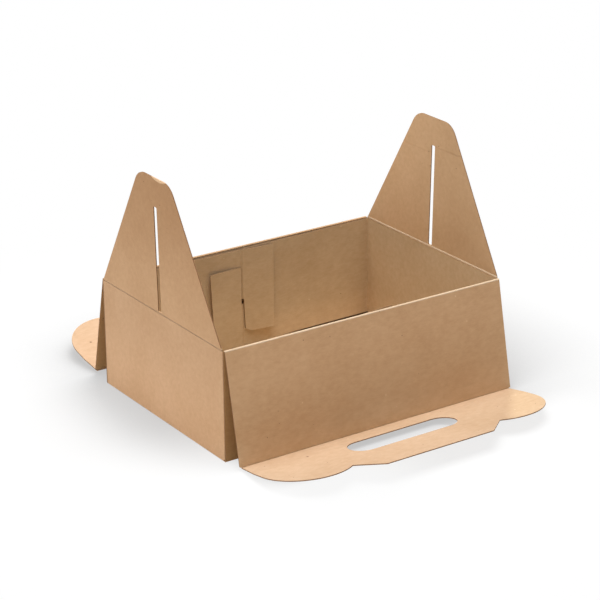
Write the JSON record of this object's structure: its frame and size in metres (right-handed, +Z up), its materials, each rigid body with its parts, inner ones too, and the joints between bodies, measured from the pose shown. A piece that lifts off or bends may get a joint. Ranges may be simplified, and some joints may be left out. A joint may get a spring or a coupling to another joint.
{
  "type": "cardboard tray box",
  "caption": "Shallow folding box of plain brown board, standing open: slotted end flaps, hanging roof panels and handle panels with hand holes.",
  "frame": {"origin": "under the middle of the base, on the surface that the tray stands on", "axes": "+X along the long walls towards the right end, +Y to the back, +Z up"},
  "size_m": [0.2602, 0.3698, 0.1981],
  "materials": {
    "brown_board": "uncoated brown board, smooth and matt, with a fine mottle"
  },
  "bodies": {
    "tray": {"tray": "brown_board"},
    "end_flap_left": {"end_flap_left": "brown_board"},
    "end_flap_right": {"end_flap_right": "brown_board"},
    "lid_front": {"lid_front": "brown_board"},
    "lid_back": {"lid_back": "brown_board"},
    "handle_front": {"handle_front": "brown_board"},
    "handle_back": {"handle_back": "brown_board"}
  },
  "joints": [
    {"name": "end_flap_left_crease", "type": "hinge", "parent": "tray", "child": "end_flap_left", "pos_m": [-0.1281, 0, 0.0894], "axis": [0, -1, 0], "range_deg": [-90.9, 141.1]},
    {"name": "end_flap_right_crease", "type": "hinge", "parent": "tray", "child": "end_flap_right", "pos_m": [0.1281, 0, 0.0894], "axis": [0, 1, 0], "range_deg": [-91.3, 140.7]},
    {"name": "lid_front_crease", "type": "hinge", "parent": "tray", "child": "lid_front", "pos_m": [0, -0.0893, 0.0894], "axis": [-1, 0, 0], "range_deg": [-9.5, 258.5]},
    {"name": "lid_back_crease", "type": "hinge", "parent": "tray", "child": "lid_back", "pos_m": [0, 0.0893, 0.0894], "axis": [1, 0, 0], "range_deg": [-10.8, 257.2]},
    {"name": "handle_front_crease", "type": "hinge", "parent": "lid_front", "child": "handle_front", "pos_m": [0, -0.10793, 0.00283], "axis": [1, 0, 0], "range_deg": [-89.8, 178.2]},
    {"name": "handle_back_crease", "type": "hinge", "parent": "lid_back", "child": "handle_back", "pos_m": [0, 0.10989, 0.00327], "axis": [-1, 0, 0], "range_deg": [-88.2, 179.8]}
  ]
}
